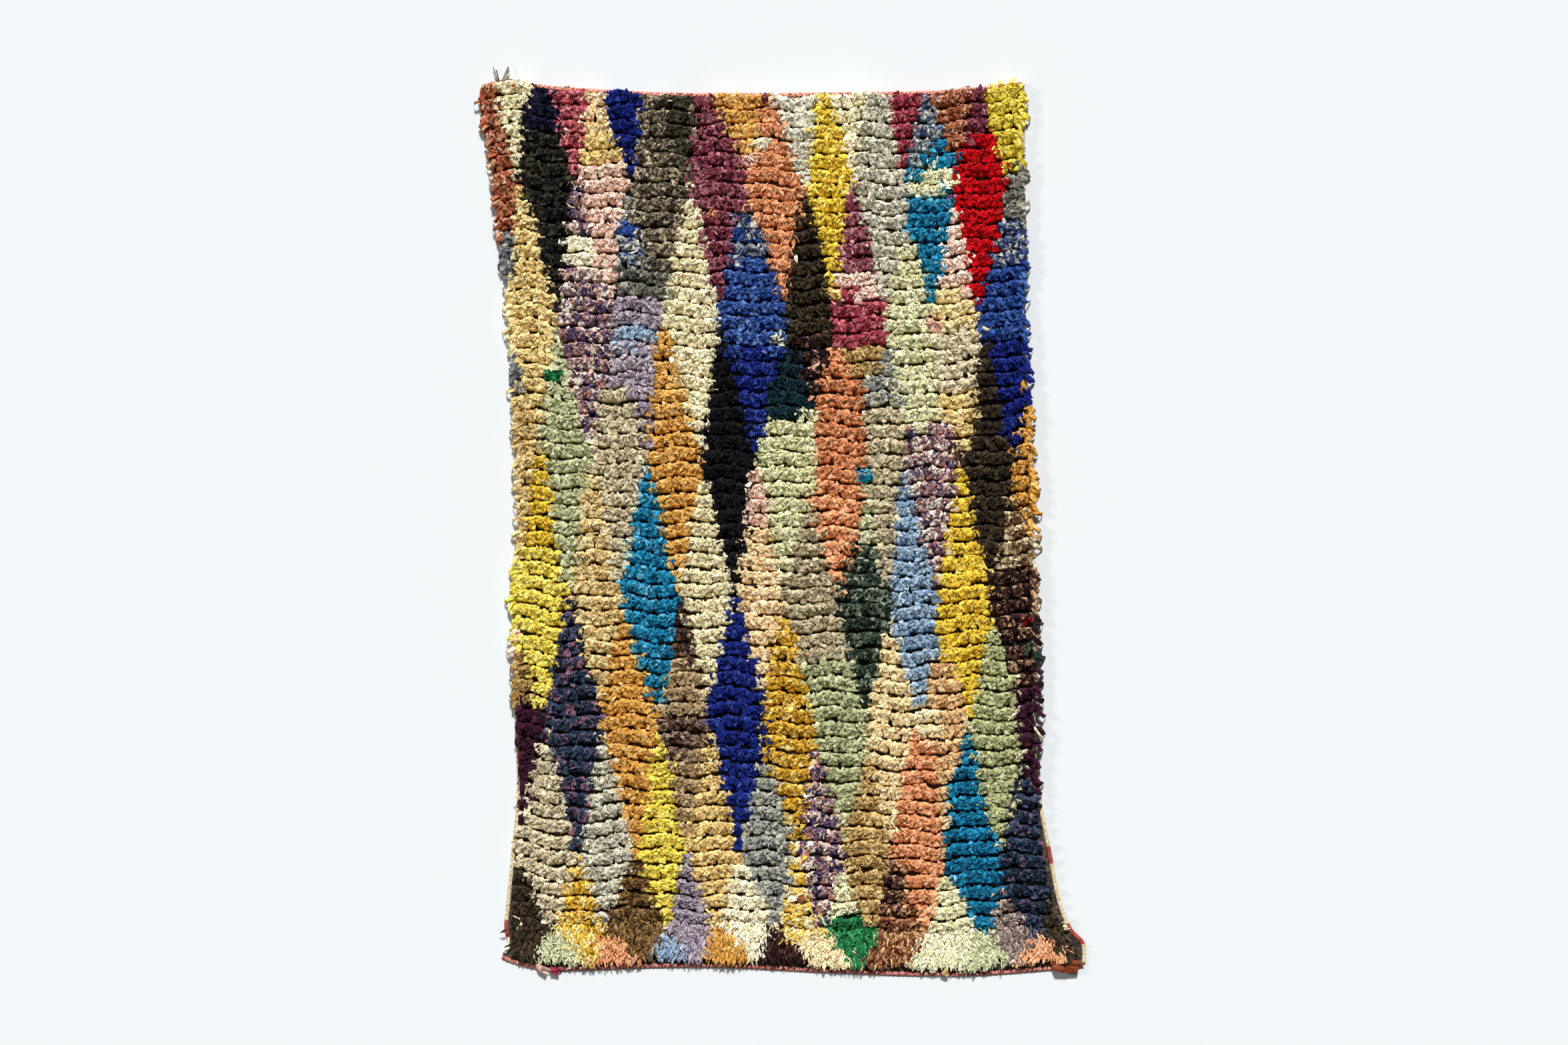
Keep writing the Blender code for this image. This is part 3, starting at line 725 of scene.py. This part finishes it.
# %% Strips at their knots
LIFT_SPREAD = 1.2 * MM
RING_CRUMPLE = (1.2, 0.5, 0.8)      # shares of the crumple, across, along and up
POINT_CRUMPLE = (1.0, 0.8, 1.0)
PLACE_SCATTER = (2.5, 1.8)          # mm, across and along
ASKED_KNOT_SCATTER = 0.6            # knots, how far the border of a lozenge is blurred
ASKED_ROW_SCATTER = 0.06            # rows
STRETCH_SPREAD = (0.15, 0.05, 0.12)  # across, along and up
STRETCH_LIMITS = (0.6, 1.35)


def place_strips(points, places, lean, roll, stretch, crumple):
    """Copies of a strip, one for each place: stretched, rolled, leaned sideways and crumpled."""
    count = len(places)
    centres = points.mean(axis=1)
    offsets = (points - centres[:, None])[None] * stretch[:, None, None, :]
    c, s = np.cos(roll)[:, None, None], np.sin(roll)[:, None, None]
    copies = np.empty((count, *points.shape))
    copies[..., 0] = offsets[..., 0] * c - offsets[..., 2] * s
    copies[..., 1] = centres[:, None, 1] * stretch[:, None, None, 1]
    copies[..., 2] = offsets[..., 0] * s + offsets[..., 2] * c + centres[:, None, 2]
    copies[..., 2] += dice.normal(0.0, LIFT_SPREAD, count)[:, None, None]
    by_ring = dice.normal(0.0, crumple, (count, len(points), 1, 3)) * np.array(RING_CRUMPLE)
    by_point = dice.normal(0.0, crumple, copies.shape) * np.array(POINT_CRUMPLE)
    copies += by_ring + by_point
    c, s = np.cos(lean)[:, None, None], np.sin(lean)[:, None, None]
    x, y = copies[..., 0].copy(), copies[..., 1].copy()
    copies[..., 0] = x * c - y * s + places[:, None, None, 0]
    copies[..., 1] = x * s + y * c + places[:, None, None, 1]
    copies[..., 2] = np.clip(copies[..., 2], GROUND, HIGHEST)
    return copies


def join_strips(name, parts, material):
    """One mesh from (copies, face corners, corner counts, tones) parts."""
    all_points, all_corners, all_counts, all_tones = [], [], [], []
    start = 0
    for copies, corners, counts, tones in parts:
        copies = copies.reshape(len(copies), -1, 3)
        number, size = copies.shape[:2]
        all_points.append(copies.reshape(-1, 3))
        all_corners.append((corners[None] + start + np.arange(number)[:, None] * size).ravel())
        all_counts.append(np.tile(counts, number))
        all_tones.append(np.repeat(tones, size))
        start += number * size
    points = np.vstack(all_points)
    corners = np.concatenate(all_corners)
    counts = np.concatenate(all_counts)
    mesh = bpy.data.meshes.new(name)
    mesh.vertices.add(len(points))
    mesh.vertices.foreach_set("co", points.ravel())
    mesh.loops.add(len(corners))
    mesh.loops.foreach_set("vertex_index", corners)
    mesh.polygons.add(len(counts))
    mesh.polygons.foreach_set("loop_start", np.concatenate([[0], np.cumsum(counts)[:-1]]))
    mesh.attributes.new("tone", "FLOAT", "POINT").data.foreach_set("value", np.concatenate(all_tones))
    mesh.update(calc_edges=True)
    mesh.validate()
    mesh.shade_flat()
    mesh.materials.append(material)
    obj = bpy.data.objects.new(name, mesh)
    scene.collection.objects.link(obj)
    return obj


def sow(strips, places, knots, rows, habit, leans=0.0):
    """One layer of strips: a list of (cloth, copies, face corners, corner counts, tones)."""
    lean_spread, roll_spread, crumple, slide, wider = HABITS[habit]
    count = len(places)
    places = places + dice.normal(0.0, 1.0, places.shape) * np.array(PLACE_SCATTER) * MM
    places[:, 1] -= dice.random(count) * (slide * MM)
    asked_knots = knots + dice.normal(0.0, ASKED_KNOT_SCATTER, count)
    asked_rows = rows + dice.normal(0.0, ASKED_ROW_SCATTER, count)
    which = lozenge_at(asked_knots, asked_rows)
    kind = dice.integers(0, len(strips), count)
    lean = leans + dice.normal(0.0, lean_spread, count)
    roll = dice.normal(0.0, roll_spread, count)
    stretch = 1.0 + dice.normal(0.0, 1.0, (count, 3)) * np.array(STRETCH_SPREAD)
    stretch = np.clip(stretch, *STRETCH_LIMITS)
    stretch[:, 0] *= wider
    cloth_of = np.array([line[0] for line in CHART])[which]
    fade_of = np.array([line[1] for line in CHART])[which]
    spread_of = np.array([CLOTHS[cloth][1] for cloth in cloth_of])
    tones = np.clip(fade_of + spread_of * (dice.random(count) * 2 - 1), 0.0, 1.0)
    grown = []
    for cloth in CLOTHS:
        for k, (points, corners, counts) in enumerate(strips):
            mine = (cloth_of == cloth) & (kind == k)
            if mine.any():
                shaped = place_strips(
                    points, places[mine], lean[mine], roll[mine], stretch[mine], crumple * MM)
                grown.append((cloth, shaped, corners, counts, tones[mine]))
    return grown


# %% [markdown]
# Folds come first, in rows, and four layers of tips over them. At the sides a line of folds leans
# outwards, so that the pile hangs over the selvedge, except near the foot, where the selvedge
# shows. Two layers of shag close the foot.

# %% How each kind lies, and the tufts at the sides
HABITS = {
    # spread of lean and of roll in radians, crumple and slide towards the bottom end in mm, width
    "fold": (0.15, 0.12, 0.8, 0, 1.0),
    "tip": (0.8, 0.6, 1.5, 8, 1.0),
    "side tuft": (0.3, 0.5, 1.4, 0, 0.7),
    "shag": (0.5, 0.6, 0.8, 0, 1.0),
}
TIP_LAYERS = 4
SHAG_LAYERS = 2
TUFTS_ALONG_SIDE = 120
TUFT_LEAN = 0.65               # radians outwards
TUFT_REACH = 4 * MM            # what shows of a tuft is so far below its knot
# Share down the side, and how far inside the outline its tufts are knotted, in mm.
LEFT_TUFTS = ((0.01, 20), (0.45, 19), (0.55, 17), (0.71, 17))
RIGHT_TUFTS = ((0.01, 20), (0.22, 19), (0.32, 9), (0.70, 8), (0.76, 14), (0.80, 18))


def side_tufts(edge, outwards, stations):
    """Places along a side where strips lean outwards over the selvedge."""
    down, inside = np.array(stations).T
    shares = np.linspace(down[0], down[-1], TUFTS_ALONG_SIDE)
    places = at_shares(edge, shares)
    places[:, 0] -= outwards * np.interp(shares, down, inside) * MM
    return places


grown = sow(rag_folds, rag_places, rag_knots, rag_rows, "fold")
for _ in range(TIP_LAYERS):
    grown += sow(rag_tips, rag_places, rag_knots, rag_rows, "tip")
for edge, outwards, stations in ((left_edge, -1, LEFT_TUFTS), (right_edge, 1, RIGHT_TUFTS)):
    places = side_tufts(edge, outwards, stations)
    knots, rows = chart_place(places, TUFT_REACH)
    grown += sow(rag_folds, places, knots, rows, "side tuft", outwards * TUFT_LEAN)
for _ in range(SHAG_LAYERS):
    grown += sow(shag_strips, shag_places, shag_knots, shag_rows, "shag")
print(sum(len(part[1]) for part in grown), "strips are knotted in")

# %% [markdown]
# Some strips have worked loose or were left long: a grey tuft at a top corner, corner bits that
# cover the ends of the bands, and thin curls in the pile. Each is two of the modelled tips, laid
# where it shows, and pulled longer or wider.

# %% Loose strips
LOOSE = (
    # cloth, tone, across and up in cm, higher in mm, heading in degrees from the fall, longer, wider
    ("grey", 0.5, -69.0, 107.8, -14, 170, 3.4, 0.5),
    ("grey", 0.2, -69.8, 108.0, -14, 195, 3.0, 0.4),
    ("grey", 0.8, -68.4, 108.2, -14, 160, 2.4, 0.4),
    ("coral", 0.6, -72.5, 107.6, 0, 120, 1.2, 0.9),
    ("peach", 0.4, -69.5, 108.2, -2, 100, 1.3, 0.9),
    ("coral", 0.5, -66.5, 107.8, 0, 80, 1.3, 0.9),
    ("ivory", 0.7, -62.5, 106.0, 1, 60, 1.0, 0.9),
    ("ivory", 0.5, -53.5, 107.5, 1, 90, 1.1, 0.8),
    ("pink", 0.5, -54.0, 97.5, 2, 80, 1.3, 0.8),
    ("ivory", 0.8, 3.0, 66.6, 2, 10, 2.0, 0.5),
    ("ivory", 0.9, 1.5, -90.5, 3, 70, 1.6, 1.5),
    ("brown_mix", 0.3, 3.5, -91.8, 3, 110, 1.6, 1.2),
    ("stone", 0.9, 58.0, -44.0, 2, -30, 3.0, 0.4),
    ("stone", 0.9, 61.0, -48.5, 2, 25, 3.2, 0.4),
    ("stone", 0.8, 59.5, -54.0, 2, -60, 2.6, 0.4),
    ("violet_print", 0.7, 60.5, -28.0, -4, 60, 1.6, 0.5),
    ("pink", 0.2, -60.5, -107.6, -16, 60, 2.4, 1.6),
    ("raspberry", 0.3, -57.5, -108.2, -16, 80, 2.0, 1.4),
    ("sand", 0.3, 39.0, -108.3, -16, 40, 1.3, 1.4),
    ("rust", 0.1, 65.5, -107.0, -14, 80, 3.0, 2.0),
    ("rust", 0.1, 69.0, -107.4, -14, 95, 2.6, 1.8),
    ("ivory", 0.7, 68.3, -97.0, -16, 65, 0.9, 0.7),
    ("ivory", 0.6, 68.6, -98.6, -16, 80, 1.0, 0.6),
    ("lemon", 0.5, 50.5, 107.6, -2, 140, 1.1, 1.1),
    ("lemon", 0.7, 53.5, 107.9, -2, 190, 1.1, 1.1),
    ("lemon", 0.5, 56.0, 108.2, -2, 165, 1.1, 1.1),
    ("pink", 0.3, 7.0, 43.0, 3, 60, 1.6, 0.5),
    ("pink", 0.2, 9.0, 40.5, 3, -50, 1.6, 0.5),
)
LOOSE_JITTER = 2 * MM
LOOSE_TURN = 0.2               # radians
LOOSE_ROLL = np.array([0.3])
LOOSE_CRUMPLE = 1.5 * MM
for cloth, tone, across, up, height, heading, longer, wider in LOOSE:
    for points, corners, counts in rag_tips[:2]:
        at = np.array([[across, up]]) * CM + to_frame + dice.normal(0.0, LOOSE_JITTER, 2)
        lean = np.radians([heading]) + dice.normal(0, LOOSE_TURN)
        laid = place_strips(points + np.array([0, 0, height * MM]), at, lean, LOOSE_ROLL,
                            np.array([[wider, longer, wider]]), LOOSE_CRUMPLE)
        grown.append((cloth, laid, corners, counts, np.array([tone])))
print(len(LOOSE), "loose strips")

# %% Pile pieces
pile_pieces = []
for cloth in CLOTHS:
    parts = [part[1:] for part in grown if part[0] == cloth]
    if parts:
        pile_pieces.append(join_strips(f"pile_{cloth}", parts, rag_materials[cloth]))
triangles = sum(len(piece.data.loops) - 2 * len(piece.data.polygons) for piece in pile_pieces)
print(len(pile_pieces), "pile pieces with about", triangles, "triangles")

# %% [markdown]
# The woven ground is the only cloth that runs through the whole rug: wool warps, and several shots
# of weft between two rows of knots. It hardly shows from above, but it is what lies on the floor.

# %% Woven ground
GROUND_CELLS = (36, 60)        # across and along
# The ground's browns are kept dark, so that they add painted shade where the ground shows between the
# rows.
WOOL_AND_SHADE_BROWNS = [(0.3, "#1E1914"), (0.45, "#322A22"), (0.6, "#4A3E32"), (0.75, "#6A5C4A")]


def ground_material():
    """Undyed brown wool in plain weave, kept dark so that it adds painted shade where the ground shows
    between rows.
    """
    material, tree, shader = new_material("woven_wool_ground")
    place = add_node(tree, "ShaderNodeTexCoord")
    # Wefts drawn 10 mm apart, coarser than real ones, so that they show. A wave texture of scale 1
    # has 0.314 m from band to band.
    wefts = add_node(tree, "ShaderNodeTexWave", {
        "Vector": place.outputs["Object"], "Scale": 0.314 / (10 * MM), "Distortion": 1.2, "Detail": 2.0},
        bands_direction="Y")
    fleck = add_node(tree, "ShaderNodeTexNoise", {
        "Vector": place.outputs["Object"], "Scale": 1 / (9 * MM), "Detail": 2.0})
    ramp = add_node(tree, "ShaderNodeValToRGB", {"Fac": fleck.outputs["Fac"]})
    fill_ramp(ramp.color_ramp, WOOL_AND_SHADE_BROWNS)
    bump = add_node(tree, "ShaderNodeBump", {
        "Height": wefts.outputs["Fac"], "Strength": 0.8, "Distance": 1.0 * MM})
    tree.links.new(ramp.outputs["Color"], shader.inputs["Base Color"])
    tree.links.new(bump.outputs["Normal"], shader.inputs["Normal"])
    shader.inputs["Roughness"].default_value = 0.95
    return material


def make_ground():
    """A plane subdivided and fitted between the four edges, then thickened."""
    bpy.ops.object.select_all(action="DESELECT")
    bpy.ops.mesh.primitive_grid_add(x_subdivisions=GROUND_CELLS[0], y_subdivisions=GROUND_CELLS[1],
                                    size=1.0, location=(0, 0, 0))
    ground = bpy.context.object
    ground.name = "woven_ground"
    inset = BAND / 2
    unit = np.array([v.co for v in ground.data.vertices])
    u = (unit[:, 0] + 0.5) * (1 - 2 * inset / RUG_WIDTH) + inset / RUG_WIDTH
    v = (0.5 - unit[:, 1]) * (1 - 2 * inset / RUG_LENGTH) + inset / RUG_LENGTH
    flat = inside_point(u, v)
    for vertex, (x, y) in zip(ground.data.vertices, flat):
        vertex.co = (x, y, 0.5 * GROUND + CLEAR)
    bpy.ops.object.modifier_add(type="SOLIDIFY")
    ground.modifiers["Solidify"].thickness = GROUND
    ground.modifiers["Solidify"].offset = 0.0
    bpy.ops.object.modifier_apply(modifier="Solidify")
    ground.data.materials.append(ground_material())
    return ground


ground = make_ground()
print("ground", tuple(round(x, 3) for x in ground.dimensions))

# %% [markdown]
# The selvedges are the outermost warps, overcast with wool as the weaving grows. The end bands
# are twined: two yarns twist round each other and lock the last shots in. Both are cords here, so
# one function sweeps a ring along an edge, and the ring's lobes turn as it goes.

# %% Selvedges and end bands
CORD_WIDTH = 11 * MM
CORD_SIDES = 10
CORD_STEP = 2 * MM             # from one ring of a cord to the next


def leftwards(path):
    """Unit directions that point to the left of a path."""
    tangent = np.gradient(path, axis=0)
    tangent /= np.linalg.norm(tangent, axis=1)[:, None]
    return np.stack([-tangent[:, 1], tangent[:, 0]], axis=1)


def sweep_cord(name, path, wraps, lobes, depth, material):
    """A cord along a path on the floor, its wraps raised by depth, as one closed mesh."""
    across = leftwards(path)
    steps = np.linalg.norm(np.diff(path, axis=0), axis=1)
    along = np.concatenate([[0.0], np.cumsum(steps)])
    angle = np.arange(CORD_SIDES) / CORD_SIDES * 2 * math.pi
    phase = lobes * angle[None] + along[:, None] / wraps * 2 * math.pi
    swell = 1.0 - depth + depth * np.abs(np.cos(phase / 2))
    out = np.cos(angle)[None] * swell * CORD_WIDTH / 2
    up = np.sin(angle)[None] * swell * BAND_HEIGHT / 2 + BAND_HEIGHT / 2 + CLEAR
    points = np.dstack([path[:, None, 0] + across[:, None, 0] * out,
                        path[:, None, 1] + across[:, None, 1] * out, up])
    mesh = bmesh.new()
    rings = [[mesh.verts.new(p) for p in ring] for ring in points]
    for here, there in zip(rings, rings[1:]):
        for k in range(CORD_SIDES):
            j = (k + 1) % CORD_SIDES
            mesh.faces.new((here[k], here[j], there[j], there[k]))
    mesh.faces.new(rings[0])
    mesh.faces.new(rings[-1])
    bmesh.ops.recalc_face_normals(mesh, faces=mesh.faces)
    data = bpy.data.meshes.new(name)
    mesh.to_mesh(data)
    mesh.free()
    data.materials.append(material)
    for face in data.polygons:
        face.use_smooth = True
    obj = bpy.data.objects.new(name, data)
    scene.collection.objects.link(obj)
    return obj


def yarn_material(name, stops, fleck_stops):
    """Wool yarn: sections of colour from the top end down, with darker flecks between the plies."""
    material, tree, shader = new_material(name)
    place = add_node(tree, "ShaderNodeTexCoord")
    split = add_node(tree, "ShaderNodeSeparateXYZ", {"Vector": place.outputs["Object"]})
    share = add_node(tree, "ShaderNodeMapRange", {
        "Value": split.outputs["Y"], "From Min": RUG_LENGTH / 2, "From Max": -RUG_LENGTH / 2})
    sections = add_node(tree, "ShaderNodeValToRGB", {"Fac": share.outputs["Result"]})
    fill_ramp(sections.color_ramp, stops, "CONSTANT")
    fleck = add_node(tree, "ShaderNodeTexNoise", {
        "Vector": place.outputs["Object"], "Scale": 1 / (5 * MM), "Detail": 2.0})
    flecks = add_node(tree, "ShaderNodeValToRGB", {"Fac": fleck.outputs["Fac"]})
    fill_ramp(flecks.color_ramp, fleck_stops)
    mixed = add_node(tree, "ShaderNodeMix", {"Factor": 1.0}, data_type="RGBA", blend_type="MULTIPLY")
    tree.links.new(sections.outputs["Color"], mixed.inputs[6])
    tree.links.new(flecks.outputs["Color"], mixed.inputs[7])
    threads = add_node(tree, "ShaderNodeTexNoise", {
        "Vector": place.outputs["Object"], "Scale": 1 / (1.0 * MM), "Detail": 1.0})
    bump = add_node(tree, "ShaderNodeBump", {
        "Height": threads.outputs["Fac"], "Strength": 0.5, "Distance": 0.4 * MM})
    tree.links.new(mixed.outputs[2], shader.inputs["Base Color"])
    tree.links.new(bump.outputs["Normal"], shader.inputs["Normal"])
    shader.inputs["Roughness"].default_value = 0.9
    shader.inputs["Sheen Weight"].default_value = 0.15
    return material


CREAM_FLECKS = [(0.35, "#B8A684"), (0.5, "#E8E0CC"), (0.65, "#FFFFFF")]
PLUM_FLECKS = [(0.38, "#5A2A3A"), (0.46, "#E8C8BC"), (0.65, "#FFFFFF")]
left_yarn = yarn_material("overcast_wool_left", [
    (0.0, "#B5654A"), (0.16, "#D9CDB0"), (0.935, "#A8453C"), (0.955, "#E9E2D0")], CREAM_FLECKS)
right_yarn = yarn_material("overcast_wool_right", [
    (0.0, "#C9BFA6"), (0.8, "#DED2B4"), (0.853, "#A8403A"), (0.872, "#E0D6BC"), (0.94, "#B03E38"),
    (0.962, "#E2D8BE")], CREAM_FLECKS)
top_yarn = yarn_material("twined_wool_top", [(0.0, "#DE9C8A")], PLUM_FLECKS)
bottom_yarn = yarn_material("woven_wool_bottom", [(0.0, "#C9837A")], PLUM_FLECKS)


def moved_in(edge, side, trim):
    """The edge moved to the middle of its band, and cut short by trim metres at its ends."""
    length = np.linalg.norm(np.diff(edge, axis=0), axis=1).sum()
    shares = np.linspace(trim / length, 1 - trim / length, int(length / CORD_STEP))
    path = at_shares(edge, shares)
    return path + leftwards(path) * (BAND / 2) * side


BINDINGS = (
    # name, node, edge, 1 if the rug is to its left, trim, from wrap to wrap, lobes, depth, yarn
    ("overcast_selvedge_left", "selvedge_left", left_edge, 1, BAND, 5 * MM, 1, 0.22, left_yarn),
    ("overcast_selvedge_right", "selvedge_right", right_edge, -1, BAND, 5 * MM, 1, 0.22, right_yarn),
    ("twined_band_top", "end_band_top", top_edge, -1, BAND / 2, 12 * MM, 2, 0.35, top_yarn),
    ("woven_band_bottom", "end_band_bottom", bottom_edge, 1, BAND / 2, 12 * MM, 2, 0.35, bottom_yarn),
)
bindings = []
for name, node, edge, side, trim, wraps, lobes, depth, yarn in BINDINGS:
    cord = sweep_cord(name, moved_in(edge, side, trim), wraps, lobes, depth, yarn)
    bindings.append((cord, node))
print(len(bindings), "bindings")

# %% [markdown]
# The floor is plain and pale, and belongs to the studio, not to the rug.

# %% Floor
FLOOR_SIDE = 14.0
FLOOR_DROP = 0.2 * MM          # below the solids, so that the two never share a plane
bpy.ops.object.select_all(action="DESELECT")
bpy.ops.mesh.primitive_plane_add(size=FLOOR_SIDE, location=(0, 0, -FLOOR_DROP))
floor = bpy.context.object
floor.name = "studio_floor"
paint, tree, shader = new_material("pale_floor_paint")
shader.inputs["Base Color"].default_value = colour("#CED2D4")
shader.inputs["Roughness"].default_value = 0.8
floor.data.materials.append(paint)

# %% [markdown]
# Last, every piece is tied to the frame. The rug has no joints, so all of it rides on the root
# body. The ground and the pile stand for the pile field's solid, each binding for its own.

# %% Ride and replace
for piece in [ground, *pile_pieces]:
    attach(piece, "root")
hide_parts("pile_field")
for piece, node in bindings:
    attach(piece, "root")
    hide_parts(node)
